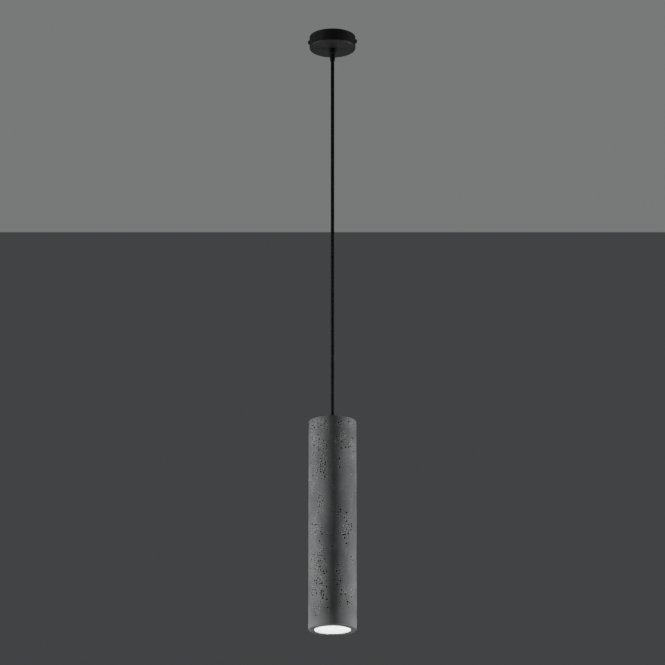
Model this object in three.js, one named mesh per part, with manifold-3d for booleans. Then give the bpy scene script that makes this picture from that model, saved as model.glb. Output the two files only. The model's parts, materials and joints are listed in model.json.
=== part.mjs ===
// Pendant ceiling light: a metal canopy, a round cord and a cast concrete tube with a spot lamp in it.
// Millimetres, +Z up. The origin is on the hanging axis, in the plane of the ceiling.
import * as THREE from "three";
import { mergeVertices } from "three/addons/utils/BufferGeometryUtils.js";
import Module from "manifold-3d";

const wasm = await Module();
wasm.setup();

// ---------------------------------------------------------------- driving dimensions

const GAP = 0.3; // left between pieces that touch
const FINE = 48; // segments round a large turned piece
const COARSE = 16; // segments round a small one
const SMALL = 12; // and round a screw

const CANOPY_R = 40;
const CANOPY_HEIGHT = 22;
const SHEET = 1; // wall of the canopy cup
const CANOPY_EDGE = 2.5;
const CUP_FLOOR = -CANOPY_HEIGHT + SHEET;

const STRIP = 1.5; // sheet of both brackets
const BRACKET_REACH = 37.5;
const BRACKET_HALF_WIDTH = 9;
const TAB_DROP = 14;
const SLOT_X = 20;
const SLOT_LENGTH = 16;
const SLOT_WIDTH = 5;
const EAR_HALF_WIDTH = 7;
const EAR_REACH = 24;

const SIDE_SCREW_Z = -8.5;
const M4 = 1.9; // screw radii, a little under the nominal thread
const M3 = 1.4;
const HOLE = 0.35; // clearance round a screw
const SIDE_SCREW = { head: 3.8, height: 2.7, shank: M4, length: 6.5 };
const CLAMP_SCREW = { head: 1.5, height: 1.6, shank: 1, length: 2 };
const BLOCK_SCREW = { head: 2.4, height: 1.8, shank: M3 - 0.1, length: 12 };
const EARTH_SCREW = { head: 3.4, height: 2, shank: M4, length: 2.7 };
const LOW_EARTH_SCREW = { head: 2.6, height: 1.6, shank: M3, length: 4.5 };
const HOLDER_SCREW = { head: 2.8, height: 2.2, shank: M3, length: 24 };

const CORD_R = 3;
const CORD_BORE = 3.4;
const FLARE = 0.8; // the bore widens by this at a grip's mouth
const STEM_R = 5; // the M10 thread of both cord grips and of the lamp tube
const STEM_HOLE = 5.4;
const NUT_FLATS = 17;
const NUT_HEIGHT = 4;

const GRIP_TOP = -(CANOPY_HEIGHT + GAP);
const GRIP_R = 6.7; // its barrel, against the cup
const BARREL_END = GRIP_TOP - 9.5;
const SOCKET_TOP = GRIP_TOP - 2.5; // the barrel's socket for the nose
const STEM_TOP = -13;
const STUB_R = 4.7; // the nose screws in by this stub
const NOSE_R = 5;
const NOSE_END_R = 4.1; // and narrows to this at its end
const CANOPY_WASHER_R = 9;
const TOP_MOUTH = -44.5; // where the cord leaves the canopy's grip
const FLEX = 6; // half of the short stretch that bends outside each mouth
const TOP_PIVOT = TOP_MOUTH - FLEX;

const SHADE_TOP = -699;
const SHADE_LENGTH = 357;
const SHADE_R = 40;
const SHADE_BORE = 30;
const SHADE_ROOF = 12;
const SHADE_EDGE = 1.5;
const SHADE_END = SHADE_TOP - SHADE_LENGTH;
const PLATE_WASHER = 1.5; // under the roof
const PLATE_WASHER_R = 13;

const LOW_GRIP_R = 7;
const LOW_GRIP_HEIGHT = 8.2;
const LOW_GRIP_EDGE = 2.5;
const SEAL = 1.5; // rubber washer under the grip
const SEAL_R = 12;
const LOW_GRIP_BASE = SHADE_TOP + GAP + SEAL + GAP;
const LOW_MOUTH = LOW_GRIP_BASE + LOW_GRIP_HEIGHT; // where it enters the shade's grip
const LOW_PIVOT = LOW_MOUTH + FLEX;
const SOCKET_DEPTH = 4;
const SET_SCREW_Z = 5.9; // above the grip's base
const SET_SCREW_SLOT = 0.3; // half of its width

const TUBE_TOP = LOW_GRIP_BASE + SOCKET_DEPTH - GAP;
const TUBE_END = -948;
const HANGER_TOP = -938; // the bracket that carries the lampholder
const HANGER_HALF = 12;
const HANGER_HALF_WIDTH = 7;
const HANGER_FOOT_GAP = 6; // half of the opening between its feet
const HANGER_FOOT = -965.7;

const HOLDER_R = 14;
const HOLDER_TOP = -966;
const HOLDER_END = -988.7;
const HOLDER_SCREW_Y = 8.6;
const HOLDER_SINK = 3; // depth of the well for each screw's head
const HOLDER_WELL_R = 3.2;
const PIN_RING = 5; // half of the 10 mm between the lamp's pins
const PIN_R = 1.5;
const FOOT_R = 2.5;
const PIN_PLAY = 0.4;
const PLATE = 3.4; // ceramic left under the pins' feet
const TWIST = THREE.MathUtils.degToRad(22);

const POCKET_TOP = -979; // the hollow over the pins' feet
const LAMP_TOP = HOLDER_END - GAP;
const FOOT_TOP = LAMP_TOP + 7;
const LAMP_FACE = -1036;
const LAMP_R = 25;
const LAMP_WALL = 1.2;
const BASE_R = 8.5;
const BASE_LENGTH = 14;
const BASE_FLOOR = 2.5;
const NECK_R = BASE_R + GAP + LAMP_WALL;
const NECK_TOP = LAMP_TOP - 9;
const NECK_END = LAMP_TOP - 17;
const FLARE_END = LAMP_FACE + 8;

const WIRE_R = 1;
const POLE_PITCH = 9;
const POLE_Z = -7;
const BLOCK_Y = 16.5;
const BLOCK_HALF = [13.5, 6.5];
const BLOCK_TOP = -STRIP - GAP;
const BLOCK_BOTTOM = -12.3;
const INSERT_R = 2.3;
const INSERT_HALF = 5;
const CLAMP_Y = 3; // each clamp screw's distance from the middle of its pole
const CLAMP_WELL_R = 1.9;
const POLE_BORE = WIRE_R + 0.45;
const EARTH_Y = -5.5; // the earth screw on the ceiling bracket
const LUG = 0.8; // sheet of an earth lug
const LUG_RING = 1.5;
const LUG_BARREL = [0.6, 5.4]; // from the hole's edge
const LUG_BARREL_HALF = 1.1;
const LOW_EARTH_Z = -952; // and on the hanger

// ---------------------------------------------------------------- finishes

const finish = (color, roughness, metalness) =>
  new THREE.MeshStandardMaterial({ color, roughness, metalness });

const blackPaint = finish(0x17181a, 0.5, 0.4);
const blackPlastic = finish(0x1b1c1e, 0.55, 0);
const cordJacket = finish(0x141415, 0.6, 0);
const concrete = finish(0x85878a, 0.9, 0);
const steel = finish(0xa9abae, 0.35, 1);
const brass = finish(0xb08d4a, 0.35, 1);
const rubber = finish(0x1a1a1a, 0.85, 0);
const clearNylon = finish(0xdedcd2, 0.5, 0);
const ceramic = finish(0xe9e6dd, 0.6, 0);
const lampWhite = finish(0xf0efec, 0.45, 0);
const boardGreen = finish(0x2f5b3c, 0.5, 0);
const glow = new THREE.MeshStandardMaterial({ color: 0xffffff, roughness: 0.4, emissive: 0xffffff });
const brownWire = finish(0x5b3a22, 0.5, 0);
const blueWire = finish(0x2a5da8, 0.5, 0);
const earthWire = finish(0x7da03a, 0.5, 0);

// ---------------------------------------------------------------- shape helpers

// Corners [x, y, radius]: a corner with a radius becomes an arc that is tangent to both sides.
function outline(corners, steps = 2) {
  const points = [];
  corners.forEach(([x, y, radius], i) => {
    const corner = new THREE.Vector2(x, y);
    if (!radius) {
      points.push(corner);
      return;
    }
    const before = corners[(i + corners.length - 1) % corners.length];
    const after = corners[(i + 1) % corners.length];
    const toBefore = new THREE.Vector2(before[0] - x, before[1] - y).normalize();
    const toAfter = new THREE.Vector2(after[0] - x, after[1] - y).normalize();
    const half = Math.acos(toBefore.dot(toAfter)) / 2;
    const middle = toBefore.clone().add(toAfter).normalize();
    const centre = corner.clone().addScaledVector(middle, radius / Math.sin(half));
    const start = corner.clone().addScaledVector(toBefore, radius / Math.tan(half));
    const turn = (Math.PI - 2 * half) * Math.sign(toAfter.cross(toBefore));
    for (let k = 0; k <= steps; k++) {
      points.push(start.clone().rotateAround(centre, (turn * k) / steps));
    }
  });
  return points;
}

// A solid of revolution about Z. Corners are [radius, z], anticlockwise, and start and end on the axis.
function turned(corners, segments = COARSE) {
  return new THREE.LatheGeometry(outline(corners), segments).rotateX(Math.PI / 2);
}

// The same for a ring: the profile closes on itself.
function turnedRing(corners, segments = COARSE) {
  const points = outline(corners);
  points.push(points[0].clone());
  return new THREE.LatheGeometry(points, segments).rotateX(Math.PI / 2);
}

function washer(outer, inner, height, segments = COARSE) {
  return turnedRing([[inner, 0], [outer, 0], [outer, height], [inner, height]], segments);
}

function rod(radius, low, high, segments = COARSE) {
  const geometry = new THREE.CylinderGeometry(radius, radius, high - low, segments);
  return geometry.rotateX(Math.PI / 2).translate(0, 0, (low + high) / 2);
}

function block(x, y, z) {
  const [low, high] = [new THREE.Vector3(x[0], y[0], z[0]), new THREE.Vector3(x[1], y[1], z[1])];
  const size = high.clone().sub(low);
  const centre = high.clone().add(low).multiplyScalar(0.5);
  return new THREE.BoxGeometry(size.x, size.y, size.z).translate(centre.x, centre.y, centre.z);
}

// A strip of sheet bent to an outline in XZ, as wide as given along Y.
function bentStrip(corners, halfWidth) {
  const options = { depth: 2 * halfWidth, bevelEnabled: false };
  const geometry = new THREE.ExtrudeGeometry(new THREE.Shape(outline(corners)), options);
  return geometry.rotateX(Math.PI / 2).translate(0, halfWidth, 0);
}

// A round section carried along a path.
function alongPath(path, radius, sides, steps) {
  const ring = [];
  for (let i = 0; i < sides; i++) {
    const angle = (2 * Math.PI * i) / sides;
    ring.push(new THREE.Vector2(radius * Math.cos(angle), radius * Math.sin(angle)));
  }
  const options = { steps, extrudePath: path, bevelEnabled: false };
  return new THREE.ExtrudeGeometry(new THREE.Shape(ring), options);
}

function straightCord(high, low) {
  const path = new THREE.LineCurve3(new THREE.Vector3(0, 0, high), new THREE.Vector3(0, 0, low));
  return alongPath(path, CORD_R, 12, Math.ceil((high - low) / (5 * CORD_R)));
}

function wire(points) {
  const path = new THREE.CatmullRomCurve3(points.map((p) => new THREE.Vector3(...p)));
  return alongPath(path, WIRE_R, 8, 3 * (points.length - 1));
}

function toSolid(geometry) {
  const bare = geometry.clone();
  bare.deleteAttribute("normal");
  bare.deleteAttribute("uv");
  const merged = mergeVertices(bare, 1e-4);
  const vertProperties = new Float32Array(merged.attributes.position.array);
  const triVerts = new Uint32Array(merged.index.array);
  return new wasm.Manifold(new wasm.Mesh({ numProp: 3, vertProperties, triVerts }));
}

function toGeometry(solid) {
  const mesh = solid.getMesh();
  const geometry = new THREE.BufferGeometry();
  geometry.setAttribute("position", new THREE.BufferAttribute(mesh.vertProperties, 3));
  geometry.setIndex(new THREE.BufferAttribute(mesh.triVerts, 1));
  const flat = geometry.toNonIndexed();
  flat.computeVertexNormals();
  return flat;
}

function cut(geometry, ...tools) {
  return toGeometry(tools.reduce((solid, tool) => solid.subtract(toSolid(tool)), toSolid(geometry)));
}

function join(geometry, ...others) {
  return toGeometry(others.reduce((solid, other) => solid.add(toSolid(other)), toSolid(geometry)));
}

// A slotted pan-head screw that hangs from its head: head above z = 0, shank below.
function screw({ head, height, shank, length }) {
  const corners = [[0, -length], [shank, -length], [shank, 0], [head, 0]];
  corners.push([head, height, 0.45 * height], [0, height]);
  const width = 0.24 * head;
  const depth = 0.4 * height;
  const slot = block([-2 * head, 2 * head], [-width, width], [height - depth, 2 * height]);
  return cut(turned(corners, SMALL), slot);
}

function hexNut() {
  const corner = NUT_FLATS / Math.sqrt(3);
  const hexagon = new THREE.Shape();
  for (let i = 0; i < 6; i++) {
    const angle = (Math.PI * i) / 3;
    const point = [corner * Math.cos(angle), corner * Math.sin(angle)];
    if (i) hexagon.lineTo(...point);
    else hexagon.moveTo(...point);
  }
  const bore = new THREE.Path().absarc(0, 0, STEM_R + GAP, 0, 2 * Math.PI);
  hexagon.holes.push(bore);
  const options = { depth: NUT_HEIGHT, bevelEnabled: false, curveSegments: COARSE };
  return new THREE.ExtrudeGeometry(hexagon, options);
}

function piece(parent, name, geometry, material, at = [0, 0, 0], turn = [0, 0, 0]) {
  const mesh = new THREE.Mesh(geometry, material);
  mesh.name = name;
  mesh.position.set(...at);
  mesh.rotation.set(...turn);
  parent.add(mesh);
}

// ---------------------------------------------------------------- canopy

const pendant = new THREE.Group();
const canopy = new THREE.Group();
pendant.add(canopy);

// A U of strip under the ceiling, with tabs for the cup's side screws and an ear for the terminal block.
function ceilingBracket() {
  const inner = BRACKET_REACH - STRIP;
  const strip = bentStrip(
    [
      [-BRACKET_REACH, -TAB_DROP],
      [-inner, -TAB_DROP],
      [-inner, -STRIP, 1],
      [inner, -STRIP, 1],
      [inner, -TAB_DROP],
      [BRACKET_REACH, -TAB_DROP],
      [BRACKET_REACH, 0, 1 + STRIP],
      [-BRACKET_REACH, 0, 1 + STRIP],
    ],
    BRACKET_HALF_WIDTH,
  );
  const ear = block([-EAR_HALF_WIDTH, EAR_HALF_WIDTH], [0, EAR_REACH], [-STRIP, 0]);
  const tools = [];
  for (const side of [-1, 1]) {
    const tapping = rod(M4 + HOLE, -STRIP * 2, STRIP * 2).rotateY(Math.PI / 2);
    tools.push(tapping.translate(side * BRACKET_REACH, 0, SIDE_SCREW_Z));
    const half = SLOT_LENGTH / 2 - SLOT_WIDTH / 2;
    const x = side * SLOT_X;
    tools.push(block([x - half, x + half], [-SLOT_WIDTH / 2, SLOT_WIDTH / 2], [-2 * STRIP, STRIP]));
    tools.push(rod(SLOT_WIDTH / 2, -2 * STRIP, STRIP).translate(x - half, 0, 0));
    tools.push(rod(SLOT_WIDTH / 2, -2 * STRIP, STRIP).translate(x + half, 0, 0));
  }
  tools.push(rod(M4 + HOLE, -2 * STRIP, STRIP).translate(0, EARTH_Y, 0));
  tools.push(rod(M3 + HOLE, -2 * STRIP, STRIP).translate(POLE_PITCH / 2, BLOCK_Y, 0));
  return cut(join(strip, ear), ...tools);
}

// A spun cup, open towards the ceiling, with a hole for the cord grip and one for each side screw.
function canopyCup() {
  const r = CANOPY_R;
  const floor = -CANOPY_HEIGHT;
  const cup = turnedRing(
    [
      [STEM_HOLE, floor],
      [r, floor, CANOPY_EDGE],
      [r, 0],
      [r - SHEET, 0],
      [r - SHEET, floor + SHEET, CANOPY_EDGE - SHEET],
      [STEM_HOLE, floor + SHEET],
    ],
    FINE,
  );
  const hole = rod(M4 + HOLE, -2 * r, 2 * r).rotateY(Math.PI / 2).translate(0, 0, SIDE_SCREW_Z);
  return cut(cup, hole);
}

piece(canopy, "ceiling_bracket", ceilingBracket(), steel);
piece(canopy, "canopy_cup", canopyCup(), blackPaint);

for (const [name, side] of [["left", -1], ["right", 1]]) {
  const at = [side * (CANOPY_R + GAP), 0, SIDE_SCREW_Z];
  piece(canopy, `side_screw_${name}`, screw(SIDE_SCREW), blackPaint, at, [0, (side * Math.PI) / 2, 0]);
}

// The grip: a hollow M10 stem over a barrel, with a socket for the nose that squeezes the cord.
function canopyGripBody() {
  return turnedRing([
    [STUB_R + GAP, BARREL_END],
    [GRIP_R, BARREL_END, 0.6],
    [GRIP_R, GRIP_TOP, 0.5],
    [STEM_R, GRIP_TOP],
    [STEM_R, STEM_TOP],
    [CORD_BORE, STEM_TOP],
    [CORD_BORE, SOCKET_TOP],
    [STUB_R + GAP, SOCKET_TOP],
  ], 24);
}

function canopyGripCap() {
  return turnedRing([
    [CORD_BORE, TOP_MOUTH],
    [NOSE_END_R, TOP_MOUTH, 0.3],
    [NOSE_R, BARREL_END - GAP],
    [STUB_R, BARREL_END - GAP],
    [STUB_R, SOCKET_TOP - GAP],
    [CORD_BORE, SOCKET_TOP - GAP],
  ], 24);
}

piece(canopy, "canopy_grip_body", canopyGripBody(), blackPlastic);
piece(canopy, "canopy_grip_cap", canopyGripCap(), blackPlastic);
const canopyWasher = washer(CANOPY_WASHER_R, STEM_HOLE, SHEET);
piece(canopy, "canopy_grip_washer", canopyWasher, steel, [0, 0, CUP_FLOOR + GAP]);
piece(canopy, "canopy_grip_nut", hexNut(), steel, [0, 0, CUP_FLOOR + SHEET + 2 * GAP]);

// Three poles side by side. Wires enter along Y, and the screws and the fixing screw come from below.
function terminalBlock() {
  const [halfX, halfY] = BLOCK_HALF;
  const y = [BLOCK_Y - halfY, BLOCK_Y + halfY];
  const body = block([-halfX, halfX], y, [BLOCK_BOTTOM, BLOCK_TOP]);
  const tools = [rod(M3 + HOLE - 0.1, BLOCK_BOTTOM - 1, 0).translate(POLE_PITCH / 2, BLOCK_Y, 0)];
  for (const pole of [-1, 0, 1]) {
    const bore = rod(INSERT_R + GAP, -2 * halfY, 2 * halfY).rotateX(Math.PI / 2);
    tools.push(bore.translate(pole * POLE_PITCH, BLOCK_Y, POLE_Z));
    for (const side of [-1, 1]) {
      const well = rod(CLAMP_WELL_R, BLOCK_BOTTOM - 1, POLE_Z);
      tools.push(well.translate(pole * POLE_PITCH, BLOCK_Y + side * CLAMP_Y, 0));
    }
  }
  return cut(body, ...tools);
}

function terminalInsert() {
  const tube = washer(INSERT_R, POLE_BORE, 2 * INSERT_HALF).rotateX(Math.PI / 2);
  const tools = [-1, 1].map((side) => {
    const hole = rod(CLAMP_SCREW.shank + GAP, -2 * INSERT_R, 0, SMALL);
    return hole.translate(0, -INSERT_HALF + side * CLAMP_Y, 0);
  });
  return cut(tube, ...tools);
}

piece(canopy, "terminal_block", terminalBlock(), clearNylon);
const CLAMP_HEAD = POLE_Z - INSERT_R - 1;
for (const [name, pole] of [["live", -1], ["earth", 0], ["neutral", 1]]) {
  const x = pole * POLE_PITCH;
  piece(canopy, `terminal_${name}`, terminalInsert(), brass, [x, BLOCK_Y + INSERT_HALF, POLE_Z]);
  for (const [place, side] of [["inner", -1], ["outer", 1]]) {
    const at = [x, BLOCK_Y + side * CLAMP_Y, CLAMP_HEAD];
    piece(canopy, `terminal_screw_${name}_${place}`, screw(CLAMP_SCREW), steel, at, [Math.PI, 0, 0]);
  }
}
const blockScrewAt = [POLE_PITCH / 2, BLOCK_Y, BLOCK_BOTTOM - GAP];
piece(canopy, "terminal_block_screw", screw(BLOCK_SCREW), steel, blockScrewAt, [Math.PI, 0, 0]);

// A ring lug with a crimp barrel, lying in XY with its barrel towards +X.
function ringLug(hole) {
  const reach = LUG_BARREL.map((x) => hole + x);
  const barrel = block(reach, [-LUG_BARREL_HALF, LUG_BARREL_HALF], [0, LUG]);
  return cut(join(washer(hole + LUG_RING, hole, LUG), barrel), rod(hole, -1, 1));
}

piece(canopy, "earth_lug_canopy", ringLug(M4 + HOLE), steel, [0, EARTH_Y, -STRIP - GAP - LUG]);
const earthScrewAt = [0, EARTH_Y, -STRIP - LUG - 2 * GAP];
piece(canopy, "earth_screw_canopy", screw(EARTH_SCREW), brass, earthScrewAt, [Math.PI, 0, 0]);

// Inside the canopy the jacket ends above the stem, and its three wires go to the poles.
const JACKET_END = STEM_TOP + 1.5;
piece(canopy, "cord_tail_canopy", straightCord(JACKET_END, TOP_PIVOT + CORD_R + GAP), cordJacket);

const wireStart = JACKET_END + GAP;
const poleMouth = BLOCK_Y - INSERT_HALF;
function sideWire(side) {
  return wire([
    [side * 1.3, 0.8, wireStart],
    [side * 1.6, 1.2, wireStart + 2],
    [side * 4, 4, POLE_Z - 0.2],
    [side * 8, 8, POLE_Z],
    [side * POLE_PITCH, poleMouth, POLE_Z],
    [side * POLE_PITCH, poleMouth + 3, POLE_Z],
  ]);
}
piece(canopy, "wire_live_canopy", sideWire(-1), brownWire);
piece(canopy, "wire_neutral_canopy", sideWire(1), blueWire);
const middleWire = wire([
  [0, -1.4, wireStart],
  [0, -1.1, wireStart + 2.6],
  [0, 1.8, POLE_Z + 0.7],
  [0, 6, POLE_Z + 0.3],
  [0, poleMouth, POLE_Z],
  [0, poleMouth + 3, POLE_Z],
]);
piece(canopy, "wire_earth_canopy", middleWire, earthWire);

// The bracket's own earth wire goes round the block to the far side of the middle pole.
const linkWire = wire([
  [M4 + HOLE + 5.8, EARTH_Y, -STRIP - GAP - WIRE_R],
  [13, EARTH_Y + 2, -4.2],
  [18, 3, POLE_Z],
  [18.4, 14, -8.6],
  [15.5, 23.5, -8.6],
  [9, 28.6, -7.8],
  [2.6, 28.8, POLE_Z],
  [0, 25.4, POLE_Z],
  [0, BLOCK_Y + INSERT_HALF - 3, POLE_Z],
]);
piece(canopy, "wire_earth_link", linkWire, earthWire);

// ---------------------------------------------------------------- cord

// The cord bends just outside its two grips: a ball stands for the middle of each stretch that flexes.
const ball = () => new THREE.SphereGeometry(CORD_R, 12, 8);
const cord = new THREE.Group();
pendant.add(cord);
piece(cord, "cord_flex_top", ball(), cordJacket, [0, 0, TOP_PIVOT]);
const dropTop = TOP_PIVOT - CORD_R - GAP;
const dropEnd = LOW_PIVOT + CORD_R + GAP;
piece(cord, "cord_drop", straightCord(dropTop, dropEnd), cordJacket);
piece(cord, "cord_flex_bottom", ball(), cordJacket, [0, 0, LOW_PIVOT]);

// ---------------------------------------------------------------- shade

const shade = new THREE.Group();
pendant.add(shade);

// A cast tube with a roof at its top. The bore is open below.
function concreteShade() {
  return turnedRing(
    [
      [SHADE_BORE, SHADE_END, 1],
      [SHADE_R, SHADE_END, SHADE_EDGE],
      [SHADE_R, SHADE_TOP, SHADE_EDGE],
      [STEM_HOLE, SHADE_TOP],
      [STEM_HOLE, SHADE_TOP - SHADE_ROOF],
      [SHADE_BORE, SHADE_TOP - SHADE_ROOF, 4],
    ],
    FINE,
  );
}

// The lower grip screws onto the tube's upper end and clamps the cord with a set screw.
function shadeGripBody() {
  const top = LOW_GRIP_HEIGHT;
  const body = turnedRing([
    [STEM_R + GAP, 0],
    [LOW_GRIP_R, 0],
    [LOW_GRIP_R, top, LOW_GRIP_EDGE],
    [CORD_BORE + FLARE, top],
    [CORD_BORE, top - 2 * FLARE],
    [CORD_BORE, SOCKET_DEPTH],
    [STEM_R + GAP, SOCKET_DEPTH],
  ], 24);
  const hole = rod(M3 + GAP, 0, 2 * LOW_GRIP_R).rotateY(Math.PI / 2).translate(0, 0, SET_SCREW_Z);
  return cut(body, hole);
}

// A headless screw, from the cord to the grip's outside, with a slot in its outer end.
function setScrew() {
  const length = LOW_GRIP_R - CORD_R - GAP;
  const slot = block([-2 * M3, 2 * M3], [-SET_SCREW_SLOT, SET_SCREW_SLOT], [length - M3 / 2, length + 1]);
  return cut(rod(M3, 0, length, SMALL), slot);
}

piece(shade, "concrete_shade", concreteShade(), concrete);
const seal = washer(SEAL_R, STEM_HOLE, SEAL, 24);
piece(shade, "shade_grip_washer", seal, rubber, [0, 0, SHADE_TOP + GAP]);
piece(shade, "shade_grip_body", shadeGripBody(), blackPlastic, [0, 0, LOW_GRIP_BASE]);
const setScrewAt = [CORD_R + GAP, 0, LOW_GRIP_BASE + SET_SCREW_Z];
piece(shade, "shade_grip_screw", setScrew(), steel, setScrewAt, [0, Math.PI / 2, 0]);

const roofWasher = washer(PLATE_WASHER_R, STEM_HOLE, PLATE_WASHER, 24);
const roofWasherAt = SHADE_TOP - SHADE_ROOF - GAP - PLATE_WASHER;
piece(shade, "roof_washer", roofWasher, steel, [0, 0, roofWasherAt]);
piece(shade, "roof_nut", hexNut(), steel, [0, 0, roofWasherAt - GAP - NUT_HEIGHT]);
const lampTube = washer(STEM_R, CORD_BORE, TUBE_TOP - TUBE_END, 24);
piece(shade, "threaded_tube", lampTube, steel, [0, 0, TUBE_END]);

// The hanger: a U of strip, upside down, with feet turned in over the lampholder.
function hanger() {
  const inner = HANGER_HALF - STRIP;
  const foot = HANGER_FOOT_GAP;
  const strip = bentStrip(
    [
      [-HANGER_HALF, HANGER_FOOT],
      [-foot, HANGER_FOOT],
      [-foot, HANGER_FOOT + STRIP],
      [-inner, HANGER_FOOT + STRIP],
      [-inner, HANGER_TOP - STRIP],
      [inner, HANGER_TOP - STRIP],
      [inner, HANGER_FOOT + STRIP],
      [foot, HANGER_FOOT + STRIP],
      [foot, HANGER_FOOT],
      [HANGER_HALF, HANGER_FOOT],
      [HANGER_HALF, HANGER_TOP, STRIP],
      [-HANGER_HALF, HANGER_TOP, STRIP],
    ],
    HANGER_HALF_WIDTH,
  ).rotateZ(Math.PI / 2);
  const tools = [rod(STEM_HOLE, HANGER_TOP - 5, HANGER_TOP + 5)];
  for (const side of [-1, 1]) {
    tools.push(rod(M3 + HOLE, HANGER_FOOT - 1, HANGER_FOOT + 3).translate(0, side * HOLDER_SCREW_Y, 0));
  }
  const earthHole = rod(M3 + HOLE, -3, 3).rotateX(Math.PI / 2);
  tools.push(earthHole.translate(0, -HANGER_HALF, LOW_EARTH_Z));
  return cut(strip, ...tools);
}

piece(shade, "hanger_bracket", hanger(), steel);
piece(shade, "hanger_nut_upper", hexNut(), steel, [0, 0, HANGER_TOP + GAP]);
piece(shade, "hanger_nut_lower", hexNut(), steel, [0, 0, HANGER_TOP - STRIP - GAP - NUT_HEIGHT]);

// An arc-shaped slot round the axis, from angle 0 to the twist that frees the lamp.
function arcSlot(halfWidth, low, high, start) {
  const shape = new THREE.Shape();
  shape.absarc(0, 0, PIN_RING + halfWidth, start - TWIST, start, false);
  shape.absarc(0, 0, PIN_RING - halfWidth, start, start - TWIST, true);
  const options = { depth: high - low, bevelEnabled: false, curveSegments: 5 };
  const slot = new THREE.ExtrudeGeometry(shape, options).translate(0, 0, low);
  const ends = [start, start - TWIST].map((angle) => {
    const end = rod(halfWidth, low, high, SMALL);
    return end.translate(PIN_RING * Math.cos(angle), PIN_RING * Math.sin(angle), 0);
  });
  return join(slot, ...ends);
}

// A ceramic holder: keyhole slots for the pins, pockets for their feet, and holes for wires and screws.
function lampholder() {
  const tools = [];
  const shelf = HOLDER_END + PLATE;
  const foot = FOOT_R + PIN_PLAY;
  for (const side of [0, Math.PI]) {
    tools.push(arcSlot(PIN_R + PIN_PLAY, HOLDER_END - 1, shelf + 0.5, side));
    tools.push(arcSlot(foot, shelf, POCKET_TOP, side));
    const entry = side - TWIST;
    const at = [PIN_RING * Math.cos(entry), PIN_RING * Math.sin(entry), 0];
    tools.push(rod(foot, HOLDER_END - 1, shelf + 0.5).translate(...at));
    const wireHole = rod(WIRE_R + 0.4, POCKET_TOP - 1, HOLDER_TOP + 1);
    tools.push(wireHole.translate(PIN_RING * Math.cos(side), 0, 0));
  }
  for (const side of [-1, 1]) {
    const y = side * HOLDER_SCREW_Y;
    tools.push(rod(M3 + HOLE, HOLDER_END - 1, HOLDER_TOP + 1).translate(0, y, 0));
    tools.push(rod(HOLDER_WELL_R, HOLDER_END - 1, HOLDER_END + HOLDER_SINK).translate(0, y, 0));
  }
  const corners = [[0, HOLDER_END], [HOLDER_R, HOLDER_END, 1], [HOLDER_R, HOLDER_TOP, 1], [0, HOLDER_TOP]];
  return cut(turned(corners, 32), ...tools);
}

piece(shade, "lampholder", lampholder(), ceramic);

// A spring contact above each pin's foot, with a post up into the wire hole.
function contact() {
  const leaf = block([-1.6, 1.6], [-1.8, 1.8], [0, 0.6]);
  return join(leaf, rod(WIRE_R, 0.3, 8));
}

for (const [name, side] of [["live", -1], ["neutral", 1]]) {
  piece(shade, `contact_${name}`, contact(), brass, [side * PIN_RING, 0, FOOT_TOP + GAP]);
  const lowWire = wire([
    [side * 1.3, 0.8, TUBE_END - 3.3],
    [side * 2.2, 0.8, TUBE_END - 6],
    [side * PIN_RING, 0.2, TUBE_END - 13],
    [side * PIN_RING, 0, HOLDER_TOP - 1],
    [side * PIN_RING, 0, FOOT_TOP + 8 + 2 * GAP],
  ]);
  piece(shade, `wire_${name}_holder`, lowWire, side < 0 ? brownWire : blueWire);
}

for (const [name, side] of [["front", -1], ["back", 1]]) {
  const at = [0, side * HOLDER_SCREW_Y, HOLDER_END + HOLDER_SINK - GAP];
  piece(shade, `holder_screw_${name}`, screw(HOLDER_SCREW), steel, at, [Math.PI, 0, 0]);
}

piece(shade, "cord_tail_shade", straightCord(LOW_PIVOT - CORD_R - GAP, TUBE_END - 3), cordJacket);

// The lower earth lug lies on the inside of the hanger's front leg, with its barrel down.
const legFace = -HANGER_HALF + STRIP;
const lowLugAt = [0, legFace + GAP, LOW_EARTH_Z];
piece(shade, "earth_lug_shade", ringLug(M3 + HOLE), steel, lowLugAt, [-Math.PI / 2, 0, Math.PI / 2]);
const lowEarthAt = [0, legFace + LUG + 2 * GAP, LOW_EARTH_Z];
piece(shade, "earth_screw_shade", screw(LOW_EARTH_SCREW), brass, lowEarthAt, [-Math.PI / 2, 0, 0]);
const lowEarthWire = wire([
  [0, -1.4, TUBE_END - 3.3],
  [0, -1.8, TUBE_END - 7],
  [0, -4.4, TUBE_END - 11.2],
  [0, -7.4, TUBE_END - 12.6],
  [0, legFace + GAP + WIRE_R, TUBE_END - 11.6],
]);
piece(shade, "wire_earth_holder", lowEarthWire, earthWire);

// ---------------------------------------------------------------- lamp

const lamp = new THREE.Group();
pendant.add(lamp);

function lampBase() {
  const end = LAMP_TOP - BASE_LENGTH;
  const inner = BASE_R - LAMP_WALL;
  const corners = [[inner, end], [BASE_R, end], [BASE_R, LAMP_TOP, 0.8], [0, LAMP_TOP]];
  corners.push([0, LAMP_TOP - BASE_FLOOR], [inner, LAMP_TOP - BASE_FLOOR]);
  const holes = [-1, 1].map((side) => {
    const hole = rod(PIN_R + GAP, LAMP_TOP - BASE_FLOOR - 1, LAMP_TOP + 1);
    return hole.translate(side * PIN_RING, 0, 0);
  });
  return cut(turnedRing(corners, 24), ...holes);
}

function lampPin() {
  return turned([[0, -3.5], [PIN_R, -3.5], [PIN_R, 4], [FOOT_R, 4], [FOOT_R, 7, 0.6], [0, 7]]);
}

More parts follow.
